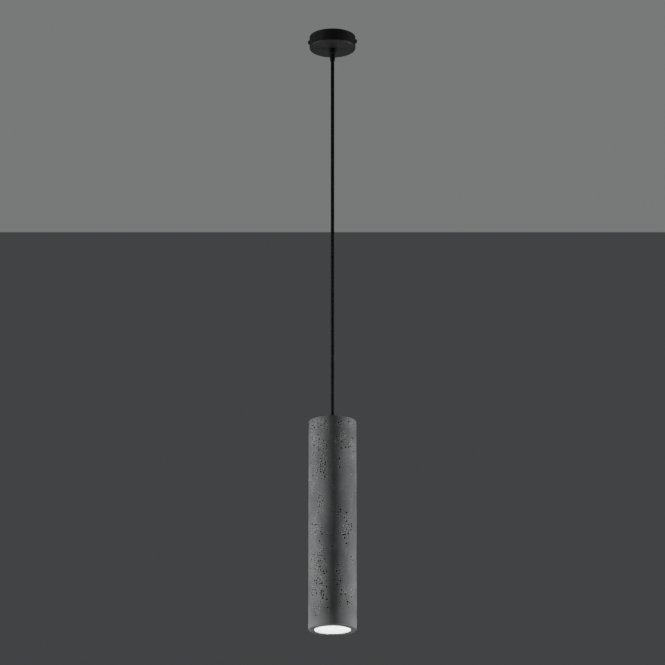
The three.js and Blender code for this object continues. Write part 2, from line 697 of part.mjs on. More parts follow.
// The heat-sink body flares from the base to the lens.
function lampBody() {
  const inner = (r) => r - LAMP_WALL;
  return turnedRing(
    [
      [inner(LAMP_R), LAMP_FACE],
      [LAMP_R, LAMP_FACE, 0.5],
      [LAMP_R, FLARE_END, 6],
      [NECK_R, NECK_END, 8],
      [NECK_R, NECK_TOP],
      [inner(NECK_R), NECK_TOP],
      [inner(NECK_R), NECK_END, 8],
      [inner(LAMP_R), FLARE_END, 6],
    ],
    32,
  );
}

piece(lamp, "lamp_base", lampBase(), lampWhite);
piece(lamp, "lamp_pin_left", lampPin(), brass, [-PIN_RING, 0, LAMP_TOP]);
piece(lamp, "lamp_pin_right", lampPin(), brass, [PIN_RING, 0, LAMP_TOP]);
piece(lamp, "lamp_body", lampBody(), lampWhite);

const lensR = LAMP_R - LAMP_WALL - GAP;
const driver = block([-6, 6], [-0.8, 0.8], [LAMP_TOP - 32, LAMP_TOP - 5]);
piece(lamp, "lamp_driver_board", driver, boardGreen);
piece(lamp, "lamp_led_board", rod(17, 0, 1.6, 24), boardGreen, [0, 0, FLARE_END + 0.4]);
const optic = turned([[0, 0], [lensR - 0.6, 0], [lensR - 1.6, 4.4], [0, 4.4]], 32);
piece(lamp, "lamp_optic", optic, glow, [0, 0, LAMP_FACE + 2.9]);
piece(lamp, "lamp_lens", rod(lensR, 0, 2, 32), glow, [0, 0, LAMP_FACE + 0.4]);

export default pendant;
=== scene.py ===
# %% [markdown]
# # A concrete pendant light
# The light is a black metal canopy on the ceiling, a black cord, and a long cast concrete tube with a
# spot lamp near its mouth. The hard parts, sizes and joints come from the imported frame. This lesson
# gives them their surfaces: a finer shape where the frame's is faceted, and a finish for everything.
# The frame is loaded first.

# %% Load the frame
import json
import math

import bpy
import numpy as np
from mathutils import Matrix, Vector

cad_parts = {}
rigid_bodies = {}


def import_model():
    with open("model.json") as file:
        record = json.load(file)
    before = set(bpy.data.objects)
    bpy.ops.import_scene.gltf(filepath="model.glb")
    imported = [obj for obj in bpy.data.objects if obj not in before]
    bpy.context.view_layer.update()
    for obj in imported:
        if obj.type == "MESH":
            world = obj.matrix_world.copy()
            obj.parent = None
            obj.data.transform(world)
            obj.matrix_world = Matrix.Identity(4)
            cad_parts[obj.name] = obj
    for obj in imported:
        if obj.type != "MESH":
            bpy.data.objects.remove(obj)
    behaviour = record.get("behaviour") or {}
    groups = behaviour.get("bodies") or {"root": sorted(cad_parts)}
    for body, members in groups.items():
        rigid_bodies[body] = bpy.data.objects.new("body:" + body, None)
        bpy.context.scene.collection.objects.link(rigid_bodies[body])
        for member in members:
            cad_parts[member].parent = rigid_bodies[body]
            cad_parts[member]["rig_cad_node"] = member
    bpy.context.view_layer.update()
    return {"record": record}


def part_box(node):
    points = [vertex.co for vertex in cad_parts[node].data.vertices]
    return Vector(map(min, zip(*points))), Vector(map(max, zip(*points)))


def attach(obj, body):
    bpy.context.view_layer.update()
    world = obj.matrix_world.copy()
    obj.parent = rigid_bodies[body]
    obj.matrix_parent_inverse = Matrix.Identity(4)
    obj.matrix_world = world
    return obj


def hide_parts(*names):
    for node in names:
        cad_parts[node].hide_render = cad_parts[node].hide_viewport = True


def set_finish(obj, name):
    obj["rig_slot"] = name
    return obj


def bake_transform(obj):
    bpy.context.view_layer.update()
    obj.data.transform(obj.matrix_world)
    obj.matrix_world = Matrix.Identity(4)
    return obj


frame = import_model()
MM = 0.001


def limits(node):
    """Lowest and highest corner of a frame node as two arrays."""
    low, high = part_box(node)
    return np.array(low), np.array(high)


# %% [markdown]
# ## The camera
# A pendant is looked at from below and from across the room. A long lens from five metres keeps the
# tube's sides nearly parallel, and a small turn to the right shows the nearer side screw a little higher.
# The camera has no shift, so it can be moved round the light without losing it.

# %% Camera
EYE_DISTANCE = 5.24
EYE_HEIGHT = -2.24
EYE_TURN = math.radians(3.5)
EYE_TILT = math.radians(17.96)
LENS = 176

camera_data = bpy.data.cameras.new("camera")
camera_data.lens = LENS
camera_data.clip_end = 60
camera = bpy.data.objects.new("camera", camera_data)
camera.location = (
    EYE_DISTANCE * math.sin(EYE_TURN),
    -EYE_DISTANCE * math.cos(EYE_TURN),
    EYE_HEIGHT,
)
camera.rotation_euler = (math.pi / 2 + EYE_TILT, 0, EYE_TURN)
bpy.context.scene.collection.objects.link(camera)
bpy.context.scene.camera = camera
print("camera at", [round(x, 3) for x in camera.location])

# %% [markdown]
# ## Surfaces from a grid
# Every new piece is a grid of points: rows run along a profile or a path, columns run round it. The
# faces are found with whole-array index shifts, so no Python loop touches a vertex. Rows that go up on
# the outside, with columns anticlockwise, make the faces point out.

# %% Grid to mesh
def grid_mesh(name, points, ring=False):
    """Quads between neighbours of a (rows, columns, 3) grid whose columns close round. With ring the
    last row joins the first. Without it each end is closed by a fan to the mean of its row."""
    rows, columns = points.shape[:2]
    index = np.arange(rows * columns).reshape(rows, columns)
    low = index if ring else index[:-1]
    high = np.roll(index, -1, axis=0) if ring else index[1:]
    beside_low = np.roll(low, -1, axis=1)
    beside_high = np.roll(high, -1, axis=1)
    quads = np.stack([low, beside_low, beside_high, high], axis=-1).reshape(-1, 4)
    vertices = points.reshape(-1, 3)
    faces = quads.tolist()
    if not ring:
        poles = np.stack([points[0].mean(axis=0), points[-1].mean(axis=0)])
        vertices = np.vstack([vertices, poles])
        first = np.full(columns, rows * columns)
        bottom = np.stack([first, np.roll(index[0], -1), index[0]], axis=-1)
        top = np.stack([first + 1, index[-1], np.roll(index[-1], -1)], axis=-1)
        faces += bottom.tolist() + top.tolist()
    mesh = bpy.data.meshes.new(name)
    mesh.from_pydata(vertices.tolist(), [], faces)
    mesh.shade_smooth()
    mesh.update()
    piece = bpy.data.objects.new(name, mesh)
    bpy.context.scene.collection.objects.link(piece)
    return piece


# %% Profiles
def rounded(corners, steps=6):
    """Corners (radius, height, fillet). A fillet becomes a circular arc tangent to both sides."""
    points = []
    for i, (r, z, fillet) in enumerate(corners):
        corner = np.array([r, z])
        if not fillet:
            points.append(corner)
            continue
        before = np.array(corners[i - 1][:2]) - corner
        after = np.array(corners[(i + 1) % len(corners)][:2]) - corner
        before = before / np.linalg.norm(before)
        after = after / np.linalg.norm(after)
        half = math.acos(float(before @ after)) / 2
        middle = (before + after) / np.linalg.norm(before + after)
        centre = corner + middle * fillet / math.sin(half)
        arm = corner + before * fillet / math.tan(half) - centre
        sign = np.sign(after[0] * before[1] - after[1] * before[0])
        for angle in np.linspace(0, sign * (math.pi - 2 * half), steps + 1):
            turn = np.array([[math.cos(angle), -math.sin(angle)], [math.sin(angle), math.cos(angle)]])
            points.append(centre + turn @ arm)
    return np.array(points)


def resampled(profile, step):
    """The same closed outline with extra points, so that no stretch is longer than its step. The step is
    one length, or one for each stretch."""
    ends = np.vstack([profile, profile[:1]])
    steps = np.broadcast_to(step, len(profile))
    pieces = []
    for a, b, longest in zip(ends[:-1], ends[1:], steps):
        count = max(1, math.ceil(np.linalg.norm(b - a) / longest))
        pieces.append(a + (b - a) * (np.arange(count) / count)[:, None])
    return np.vstack(pieces)


def turned(profile, columns):
    """A profile of (radius, height) carried round Z: x = r cos a, y = r sin a, z = height."""
    angle = np.arange(columns) * 2 * np.pi / columns
    r = profile[:, :1]
    z = np.broadcast_to(profile[:, 1:], (len(profile), columns))
    return np.stack([r * np.cos(angle), r * np.sin(angle), z], axis=-1)


def sharpen(piece, degrees=40):
    """Keeps edges that turn by more than this crisp in the smooth shading."""
    piece.data.set_sharp_from_angle(angle=math.radians(degrees))
    return piece


# %% [markdown]
# ## The cord
# The cord is three cores twisted under a round PVC jacket. It hangs straight because the concrete pulls
# it taut, so its route is a straight line from the canopy's grip to the shade's grip. It is a circle
# carried down that line, with a slow three-start swelling over the cores that is just enough to feel.
# The real cord bends just outside each grip. It is made as a long stretch from the canopy's grip and a
# short separate stretch just above the shade's grip, and its tails inside the grips go with the canopy
# and the shade. Each point keeps its place at rest in an attribute, so that the jacket's grain follows the
# cord.

# %% Cord
CORD_R = 3 * MM
GAP = 0.3 * MM
CORE_LAY = 0.055
CORE_SWELL = 0.015 * MM
FLEX = 6 * MM
top_mouth = limits("canopy_grip_cap")[0][2]
low_mouth = limits("shade_grip_body")[1][2]


def cord_stretch(name, high, low, step=1 * MM, columns=32):
    """A circle of the cord's radius carried straight down: r = R + swell cos(3 a + 2 pi z / lay)."""
    rows = math.ceil((high - low) / step) + 1
    z = np.linspace(low, high, rows)[:, None]
    angle = np.arange(columns) * 2 * np.pi / columns
    r = CORD_R - CORE_SWELL + CORE_SWELL * np.cos(3 * angle + 2 * np.pi * z / CORE_LAY)
    points = np.stack([r * np.cos(angle), r * np.sin(angle), np.broadcast_to(z, r.shape)], axis=-1)
    piece = grid_mesh(name, points)
    places = np.empty(3 * len(piece.data.vertices))
    piece.data.vertices.foreach_get("co", places)
    piece.data.attributes.new("rest_place", "FLOAT_VECTOR", "POINT").data.foreach_set("vector", places)
    sharpen(piece)
    return piece


# %% Cord stretches
cord = cord_stretch("cord_jacket", top_mouth, low_mouth + 2 * FLEX, step=1.2 * MM)
cord_low = cord_stretch("cord_bend_low", low_mouth + 2 * FLEX, low_mouth)
tail_top = cord_stretch("cord_tail_upper", limits("cord_tail_canopy")[1][2], top_mouth + GAP)
tail_low = cord_stretch("cord_tail_lower", low_mouth - GAP, limits("cord_tail_shade")[0][2])
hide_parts("cord_drop", "cord_flex_top")
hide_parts("cord_flex_bottom")
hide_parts("cord_tail_canopy")
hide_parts("cord_tail_shade")
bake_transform(cord)
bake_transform(cord_low)
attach(tail_top, "canopy")
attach(tail_low, "shade")
for piece in (cord, cord_low, tail_top, tail_low):
    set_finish(piece, "cord_jacket")
print("cord length", round(float(top_mouth - low_mouth), 4))

# %% [markdown]
# ## The concrete tube
# The shade is cast in a tube mould, so its outside is smooth where the mould was, broken by air bubbles
# that gathered against it while the mix set. Bubbles come in clusters, and are one to three and a half
# millimetres wide. A bump map alone would leave the outline and the mesh smooth, so each bubble is a real
# pit: the grid's nearest point becomes the bottom and its eight neighbours move to the pit's edge. Two
# stored masks, the pits and how crowded they are, let the finish paint shade into the pits, paint a
# highlight round each pit's rim, and pale the paste where the pits crowd.

# %% Concrete body
shade_low, shade_high = limits("concrete_shade")
SHADE_R = float(shade_high[0])
BORE_R = 30 * MM
ROOF = 12 * MM
CORD_HOLE = 5.4 * MM
INNER_EDGE, OUTER_EDGE, ROOF_EDGE = 0.4 * MM, 1.5 * MM, 4 * MM
COLUMNS = 196
PITCH = 1.25 * MM
BORE_STEP = 7 * MM
PIT_DEPTH = 1.5
print("concrete from", round(float(shade_low[2]), 4), "to", round(float(shade_high[2]), 4))

# %% Bubble clusters
# Clusters on the tube: middle as (angle from the front in degrees, depth below the top in mm),
# spread in both, bubbles (times CROWDING), and their usual radius in mm.
BUBBLE_CLUSTERS = [
    (-36, 12, 12, 6, 15, 0.9), (-16, 20, 5, 7, 6, 0.9), (15, 15, 5, 4, 6, 0.9), (50, 12, 9, 6, 8, 0.9),
    (26, 36, 8, 8, 14, 1.2), (52, 46, 14, 8, 10, 1.0), (62, 66, 10, 5, 6, 1.0), (30, 58, 6, 3, 4, 1.0),
    (-56, 38, 6, 7, 8, 0.9), (-34, 46, 8, 9, 12, 0.9), (-19, 56, 6, 10, 12, 1.0), (-24, 82, 8, 12, 26, 1.1),
    (-60, 18, 5, 8, 6, 0.9), (-52, 78, 7, 12, 7, 0.9), (-44, 100, 6, 8, 6, 0.9), (4, 40, 5, 8, 5, 0.8),
    (18, 80, 3, 8, 6, 1.2), (-20, 104, 5, 8, 6, 0.9), (-58, 118, 7, 8, 9, 0.9), (-28, 136, 6, 4, 4, 0.9),
    (30, 144, 2, 2, 2, 1.3), (-32, 154, 7, 10, 12, 0.9), (-47, 176, 6, 8, 8, 0.9), (16, 171, 3, 5, 4, 1.1),
    (38, 186, 11, 10, 16, 1.2), (-50, 194, 14, 9, 17, 0.9), (30, 204, 5, 9, 10, 1.3), (33, 224, 3, 4, 3, 1.1),
    (-30, 228, 6, 9, 7, 0.9), (4, 226, 5, 4, 3, 0.9), (53, 240, 6, 4, 3, 1.0), (-45, 244, 18, 12, 30, 0.9),
    (-40, 268, 16, 12, 34, 1.2), (-15, 270, 2, 2, 2, 1.3), (15, 268, 7, 12, 10, 1.2),
    (-23, 292, 8, 10, 12, 1.1), (26, 300, 7, 8, 7, 1.1), (-52, 300, 10, 8, 8, 1.0), (50, 296, 9, 8, 7, 0.7),
    (-28, 312, 7, 12, 13, 1.1), (40, 318, 3, 4, 3, 1.3), (-40, 330, 8, 6, 5, 0.9),
    (-10, 332, 2, 3, 2, 1.2), (18, 330, 5, 5, 3, 1.1),
]
BACK_CLUSTERS = 46
LONE_BUBBLES = 130
CROWDING = 3
SCATTER = 0.7
SIZE_LOW, SIZE_SPAN = 0.5, 1.4
LARGEST_PIT = 1.8
CROWD_REACH = 1.5
FULL_CROWD = 8
SEED = 7
print(len(BUBBLE_CLUSTERS), "clusters on the front and", BACK_CLUSTERS, "on the back")


# %% Where the bubbles are
def all_clusters(rng):
    """The front's clusters, and more of the same kind strewn over the back."""
    clusters = list(BUBBLE_CLUSTERS)
    for _ in range(BACK_CLUSTERS):
        middle = (rng.uniform(78, 282), rng.uniform(12, 345))
        spread = (rng.uniform(4, 14), rng.uniform(4, 14))
        clusters.append((*middle, *spread, int(rng.integers(4, 26)), rng.uniform(0.8, 1.25)))
    return clusters


def bubble_places(rng, clusters):
    """Angle (radians), depth (metres) and radius of every bubble. Each cluster is a normal cloud about its
    middle, with radii from SIZE_LOW to SIZE_LOW + SIZE_SPAN times its usual one, and none above
    LARGEST_PIT. Lone bubbles lie anywhere."""
    angle, depth, radius = [], [], []
    for a, d, spread_a, spread_d, bubbles, usual in clusters:
        count = CROWDING * bubbles
        angle.append(np.radians(a + rng.normal(0, SCATTER, count) * spread_a))
        depth.append((d + rng.normal(0, SCATTER, count) * spread_d) * MM)
        size = usual * (SIZE_LOW + SIZE_SPAN * rng.random(count))
        radius.append(np.minimum(size, LARGEST_PIT) * MM)
    angle.append(rng.uniform(0, 2 * np.pi, LONE_BUBBLES))
    depth.append(rng.uniform(5, 350, LONE_BUBBLES) * MM)
    radius.append(rng.uniform(0.6, 1.1, LONE_BUBBLES) * MM)
    return np.concatenate(angle), np.concatenate(depth), np.concatenate(radius)


def crowd_on(points, clusters, front):
    """How crowded with bubbles each point of the wall is, 0 to 1: the sum over the clusters of
    exp(-(angle / reach)^2 - (depth / reach)^2), clamped. Reach is CROWD_REACH times the spread, and
    clusters with fewer bubbles than FULL_CROWD count for less."""
    around = np.degrees(np.arctan2(points[..., 1], points[..., 0]) - front)
    down = (shade_high[2] - points[..., 2]) / MM
    crowd = np.zeros(around.shape)
    for a, d, spread_a, spread_d, bubbles, _ in clusters:
        aside = (around - a + 180) % 360 - 180
        strength = min(1, bubbles / FULL_CROWD)
        reach_a, reach_d = CROWD_REACH * spread_a, CROWD_REACH * spread_d
        crowd += strength * np.exp(-((aside / reach_a) ** 2) - ((down - d) / reach_d) ** 2)
    return np.minimum(crowd, 1)


# %% Pits
def pit_grid(points, row, column, radius):
    """Sinks a pit at each (row, column): the point itself goes in by PIT_DEPTH radii, and its eight
    neighbours move to a circle of that radius round it, on the wall. Returns the points and a mask: 1 at
    the bottom and 0.5 at the edge."""
    mask = np.zeros(points.shape[:2])
    columns = points.shape[1]
    centre = points[row, column]
    inward = -centre * [1, 1, 0] / np.linalg.norm(centre[:, :2], axis=1)[:, None]
    for row_step in (-1, 0, 1):
        for column_step in (-1, 0, 1):
            if row_step == 0 and column_step == 0:
                continue
            r, c = row + row_step, (column + column_step) % columns
            away = points[r, c] - centre
            away = away / np.linalg.norm(away, axis=1)[:, None]
            edge = centre + away * radius[:, None]
            edge[:, :2] *= SHADE_R / np.linalg.norm(edge[:, :2], axis=1)[:, None]
            points[r, c] = edge
            mask[r, c] = np.maximum(mask[r, c], 0.5)
    points[row, column] = centre + inward * PIT_DEPTH * radius[:, None]
    mask[row, column] = 1
    return points, mask


def apart(row, column, columns):
    """Keeps only bubbles whose blocks of nine points share none with an earlier one's."""
    taken = set()
    keep = []
    for i, (r, c) in enumerate(zip(row.tolist(), column.tolist())):
        block = [(r + a, (c + b) % columns) for a in (-1, 0, 1) for b in (-1, 0, 1)]
        if not taken.intersection(block):
            taken.update(block)
            keep.append(i)
    return np.array(keep)


# %% The tube's outline
def concrete_profile():
    """The closed outline of a cut through the wall, with rounded edges: fine steps up the outside, where
    the bubbles are, and long steps in the bore. Returns it and the rows that lie on the outside."""
    top, bottom = shade_high[2], shade_low[2]
    outline = rounded([
        (BORE_R, bottom, INNER_EDGE),
        (SHADE_R, bottom, OUTER_EDGE),
        (SHADE_R, top, OUTER_EDGE),
        (CORD_HOLE, top, INNER_EDGE),
        (CORD_HOLE, top - ROOF, INNER_EDGE),
        (BORE_R, top - ROOF, ROOF_EDGE),
    ], steps=4)
    outside = outline[:, 0] > SHADE_R - 1e-6
    profile = resampled(outline, np.where(outside, PITCH, BORE_STEP))
    on_wall = np.abs(profile[:, 0] - SHADE_R) < 1e-6
    return profile, np.flatnonzero(on_wall)


# %% Make the tube
profile, wall_rows = concrete_profile()
points = turned(profile, COLUMNS)
rng = np.random.default_rng(SEED)
clusters = all_clusters(rng)
angle, depth, radius = bubble_places(rng, clusters)
# The clusters' front is the side that faces the camera.
front = EYE_TURN - np.pi / 2
crowd = crowd_on(points, clusters, front)
column = np.round((angle + front) / (2 * np.pi) * COLUMNS).astype(int) % COLUMNS
spot = np.interp(shade_high[2] - depth, profile[wall_rows, 1], wall_rows)
row = np.clip(np.round(spot).astype(int), wall_rows[0] + 2, wall_rows[-1] - 2)
keep = apart(row, column, COLUMNS)
points, pit_mask = pit_grid(points, row[keep], column[keep], radius[keep])
shade = grid_mesh("concrete_tube", points, ring=True)
for label, mask in (("pit", pit_mask), ("crowd", crowd)):
    shade.data.attributes.new(label, "FLOAT", "POINT").data.foreach_set("value", mask.ravel())
sharpen(shade, 50)
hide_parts("concrete_shade")
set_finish(shade, "concrete")
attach(shade, "shade")
print("concrete", len(shade.data.polygons), "faces,", len(keep), "bubbles of", len(angle))

# %% [markdown]
# ## The canopy and its grip
# The cup is spun from thin steel and powder coated, and the grip is moulded plastic. Their faceted
# frame shapes are replaced by the same profiles turned with many more columns, so that the outline is
# round and the small edge radii catch the light.

# %% Turned pieces
def turned_piece(name, corners, node, body, slot, columns=128, step=6 * MM):
    """A closed profile of rounded corners carried round Z, standing for one frame node."""
    piece = grid_mesh(name, turned(resampled(rounded(corners), step), columns), ring=True)
    sharpen(piece)
    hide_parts(node)
    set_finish(piece, slot)
    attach(piece, body)
    print(name, len(piece.data.polygons), "faces")
    return piece


# %% Canopy cup
cup_low, cup_high = limits("canopy_cup")
CUP_R = float(cup_high[0])
SHEET = 1 * MM
CUP_EDGE = 2.5 * MM
cup_corners = [
    (CORD_HOLE, cup_low[2], 0),
    (CUP_R, cup_low[2], CUP_EDGE),
    (CUP_R, 0, 0.3 * MM),
    (CUP_R - SHEET, 0, 0.3 * MM),
    (CUP_R - SHEET, cup_low[2] + SHEET, 1.5 * MM),
    (CORD_HOLE, cup_low[2] + SHEET, 0),
]
turned_piece("canopy_shell", cup_corners, "canopy_cup", "canopy", "black_metal")

# %% Canopy grip
BORE = 3.4 * MM
STEM_R = 5 * MM
STUB_R = 4.7 * MM
NOSE_R = 5 * MM
NOSE_END_R = 4.1 * MM
body_low, body_high = limits("canopy_grip_body")
nose_low, nose_high = limits("canopy_grip_cap")
BARREL_R = float(body_high[0])
barrel_top = cup_low[2] - GAP
body_corners = [
    (STUB_R + GAP, body_low[2], 0),
    (BARREL_R, body_low[2], 0.6 * MM),
    (BARREL_R, barrel_top, 0.5 * MM),
    (STEM_R, barrel_top, 0),
    (STEM_R, body_high[2], 0.4 * MM),
    (BORE, body_high[2], 0.3 * MM),
    (BORE, nose_high[2] + GAP, 0),
    (STUB_R + GAP, nose_high[2] + GAP, 0),
]
nose_corners = [
    (BORE, nose_low[2], 0.2 * MM),
    (NOSE_END_R, nose_low[2], 0.3 * MM),
    (NOSE_R, body_low[2] - GAP, 0.2 * MM),
    (STUB_R, body_low[2] - GAP, 0),
    (STUB_R, nose_high[2], 0.3 * MM),
    (BORE, nose_high[2], 0),
]
GRIP_MESH = {"columns": 96, "step": 3 * MM}
turned_piece("grip_barrel", body_corners, "canopy_grip_body", "canopy", "black_plastic", **GRIP_MESH)
turned_piece("grip_nose", nose_corners, "canopy_grip_cap", "canopy", "black_plastic", **GRIP_MESH)

# %% Shade grip
low_grip_low, low_grip_high = limits("shade_grip_body")
SOCKET_R = STEM_R + GAP
SOCKET_DEPTH = 4 * MM
LOW_GRIP_EDGE = 2.5 * MM
FLARE = 0.8 * MM
socket = low_grip_low[2] + SOCKET_DEPTH
low_grip_corners = [
    (SOCKET_R, low_grip_low[2], 0),
    (low_grip_high[0], low_grip_low[2], 0.4 * MM),
    (low_grip_high[0], low_grip_high[2], LOW_GRIP_EDGE),
    (BORE + FLARE, low_grip_high[2], 0.2 * MM),
    (BORE, low_grip_high[2] - 2 * FLARE, 0),
    (BORE, socket, 0),
    (SOCKET_R, socket, 0),
]
turned_piece("shade_grip", low_grip_corners, "shade_grip_body", "shade", "black_plastic", **GRIP_MESH)

# %% [markdown]
# ## Side screws
# Each side screw is a black pan head with a cross recess. A head is a disc of rings whose height is a
# dome, less a cross-shaped dip, so the recess is in the mesh. The grid is made along Z and then laid
# along X, because the screws go in from the sides.

# %% Side screws
SCREW_HEIGHT = 2.7 * MM
SCREW_SHANK_R = 1.9 * MM
SCREW_LENGTH = 6.5 * MM
DOME = 0.45
CROSS_HALF_WIDTH, CROSS_SIDE = 0.17, 0.05
CROSS_REACH, CROSS_END = 0.68, 0.08
CROSS_DEPTH = 0.42
DOME_RINGS = 40


def screw_grid(head_r, head_height, shank_r, length, columns=96):
    """Rings from the shank's end to the middle of the head. Dome: z = h (1 - DOME (r/R)^2), and the cross
    takes off CROSS_DEPTH of the height where either |x| or |y| is inside the slot and r inside its reach."""
    shank = [[0.02 * shank_r, -length], [shank_r, -length], [shank_r, 0]]
    under = [[0.98 * head_r, 0], [head_r, 0.06 * head_height], [head_r, 0.45 * head_height]]
    rim = np.linspace(0.97, 0.02, DOME_RINGS)[:, None] * head_r
    dome = np.hstack([rim, head_height * (1 - DOME * (rim / head_r) ** 2)])
    grid = turned(np.vstack([shank, under, dome]), columns)
    r = np.hypot(grid[..., 0], grid[..., 1]) / head_r
    near = np.minimum(np.abs(grid[..., 0]), np.abs(grid[..., 1])) / head_r
    across = np.clip((CROSS_HALF_WIDTH - near) / CROSS_SIDE, 0, 1)
    along = np.clip((CROSS_REACH - r) / CROSS_END, 0, 1)
    on_head = grid[..., 2] > 0.5 * head_height
    grid[..., 2] -= CROSS_DEPTH * head_height * across * along * on_head
    return grid


def side_screw(name, node, side):
    """The screw laid along X with its head outwards: (x, y, z) becomes (side z, side y, -x) + place."""
    low, high = limits(node)
    head_r = (high[1] - low[1]) / 2
    grid = screw_grid(head_r, SCREW_HEIGHT, SCREW_SHANK_R, SCREW_LENGTH)
    x = side * (grid[..., 2] + CUP_R + GAP)
    placed = np.stack([x, side * grid[..., 1], -grid[..., 0] + (low[2] + high[2]) / 2], axis=-1)
    piece = grid_mesh(name, placed)
    sharpen(piece, 35)
    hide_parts(node)
    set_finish(piece, "black_metal")
    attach(piece, "canopy")
    return piece


# %% Both side screws
side_screws = [
    side_screw("side_screw_shown_left", "side_screw_left", -1),
    side_screw("side_screw_shown_right", "side_screw_right", 1),
]
print("side screws", len(side_screws[0].data.polygons), "faces each")

# %% [markdown]
# ## Finishes
# Two effects come up in several finishes, so each is a node group that is built once: a fine grain for
# coated, moulded and cast surfaces, and dust that settles on faces that look up. A group only puts out
# values. The Principled shader stays in each material, with its plain numbers on its own sockets.

# %% Node helpers
def new_group(name, inputs, outputs):
    """An empty shader node group. It has a Place input, float inputs (name, default) and outputs (name,
    kind). Returns it with its input and output nodes."""
    group = bpy.data.node_groups.new(name, "ShaderNodeTree")
    group.interface.new_socket("Place", in_out="INPUT", socket_type="NodeSocketVector")
    for label, default in inputs:
        socket = group.interface.new_socket(label, in_out="INPUT", socket_type="NodeSocketFloat")
        socket.default_value = default
    for label, kind in outputs:
        group.interface.new_socket(label, in_out="OUTPUT", socket_type=kind)
    return group, group.nodes.new("NodeGroupInput"), group.nodes.new("NodeGroupOutput")


def noise(tree, scale, detail, vector, kind="ShaderNodeTexNoise"):
    """A noise texture with these settings, read at the vector."""
    node = tree.nodes.new(kind)
    node.inputs["Scale"].default_value = scale
    if "Detail" in node.inputs:
        node.inputs["Detail"].default_value = detail
    tree.links.new(vector, node.inputs["Vector"])
    return node


def remap(tree, value, low, high, to_low=0.0, to_high=1.0):
    """The value stretched from low..high to to_low..to_high, and clamped."""
    node = tree.nodes.new("ShaderNodeMapRange")
    tree.links.new(value, node.inputs["Value"])
    for label, number in (("From Min", low), ("From Max", high), ("To Min", to_low), ("To Max", to_high)):
        node.inputs[label].default_value = number
    return node.outputs["Result"]


def maths(tree, operation, a, b):
    """One Math node. Each of a and b is a socket or a number."""
    node = tree.nodes.new("ShaderNodeMath")
    node.operation = operation
    for socket, value in zip(node.inputs, (a, b)):
        if isinstance(value, (int, float)):
            socket.default_value = value
        else:
            tree.links.new(value, socket)
    return node.outputs["Value"]


def mixed(tree, factor, a, b):
    """One colour between a and b. Each is a socket or an (r, g, b)."""
    node = tree.nodes.new("ShaderNodeMix")
    node.data_type = "RGBA"
    tree.links.new(factor, node.inputs["Factor"])
    for label, value in (("A", a), ("B", b)):
        socket = next(s for s in node.inputs if s.name == label and s.type == "RGBA")
        if isinstance(value, tuple):
            socket.default_value = (*value, 1)
        else:
            tree.links.new(value, socket)
    return next(s for s in node.outputs if s.type == "RGBA")


# %% Shared effects
COARSER = 0.125
GLOSS_PATCHES, DUST_CLOUDS = 45, 160


def grain_group():
    """Height of a fine grain (two noises, one eight times finer) and a slow mask for uneven gloss."""
    inputs = [("Grains per metre", 2500.0)]
    outputs = [("Height", "NodeSocketFloat"), ("Patch", "NodeSocketFloat")]
    group, given, result = new_group("fine grain", inputs, outputs)
    place, grains = given.outputs["Place"], given.outputs["Grains per metre"]
    fine = noise(group, 1, 3, place)
    group.links.new(grains, fine.inputs["Scale"])
    coarse = noise(group, 1, 1, place)
    group.links.new(maths(group, "MULTIPLY", grains, COARSER), coarse.inputs["Scale"])
    height = maths(group, "ADD", fine.outputs["Fac"], coarse.outputs["Fac"])
    group.links.new(maths(group, "MULTIPLY", height, 0.5), result.inputs["Height"])
    slow = noise(group, GLOSS_PATCHES, 4, place)
    group.links.new(remap(group, slow.outputs["Fac"], 0.35, 0.68), result.inputs["Patch"])
    return group


def dust_group():
    """A mask of dust: faces that look up, broken by a cloudy noise."""
    group, given, result = new_group("settled dust", [("Amount", 0.3)], [("Mask", "NodeSocketFloat")])
    upward = group.nodes.new("ShaderNodeSeparateXYZ")
    group.links.new(group.nodes.new("ShaderNodeNewGeometry").outputs["Normal"], upward.inputs["Vector"])
    facing = remap(group, upward.outputs["Z"], 0.2, 0.95)
    broken = noise(group, DUST_CLOUDS, 5, given.outputs["Place"]).outputs["Fac"]
    cloud = remap(group, broken, 0.35, 0.7)
    mask = maths(group, "MULTIPLY", maths(group, "MULTIPLY", facing, cloud), given.outputs["Amount"])
    group.links.new(mask, result.inputs["Mask"])
    return group


GRAIN = grain_group()
DUST = dust_group()
DUST_COLOUR = (0.33, 0.32, 0.30)
print("groups", GRAIN.name, "and", DUST.name)


# %% Material helpers
def material(name, metallic=0.0, **constants):
    """A new material with one Principled shader. Plain numbers go straight on its sockets."""
    made = bpy.data.materials.new(name)
    made.use_nodes = True
    shader = made.node_tree.nodes["Principled BSDF"]
    shader.inputs["Metallic"].default_value = metallic
    for label, value in constants.items():
        shader.inputs[label.replace("_", " ").title().replace("Ior", "IOR")].default_value = value
    return made, made.node_tree, shader


def group_node(tree, group, place, value):
    """The group placed in a material, reading the place and with its one number set."""
    node = tree.nodes.new("ShaderNodeGroup")
    node.node_tree = group
    tree.links.new(place, node.inputs["Place"])
    node.inputs[1].default_value = value
    return node


def place_on(tree, attribute=None):
    """Where a pattern is read: Object coordinates, or a piece's own attribute."""
    if attribute is None:
        return tree.nodes.new("ShaderNodeTexCoord").outputs["Object"]
    node = tree.nodes.new("ShaderNodeAttribute")
    node.attribute_name = attribute
    return node.outputs["Vector"]


def bumped(tree, shader, height, strength, distance):
    """Feeds a height to the shader's normal through a bump node."""
    node = tree.nodes.new("ShaderNodeBump")
    node.inputs["Strength"].default_value = strength
    node.inputs["Distance"].default_value = distance
    tree.links.new(height, node.inputs["Height"])
    tree.links.new(node.outputs["Normal"], shader.inputs["Normal"])


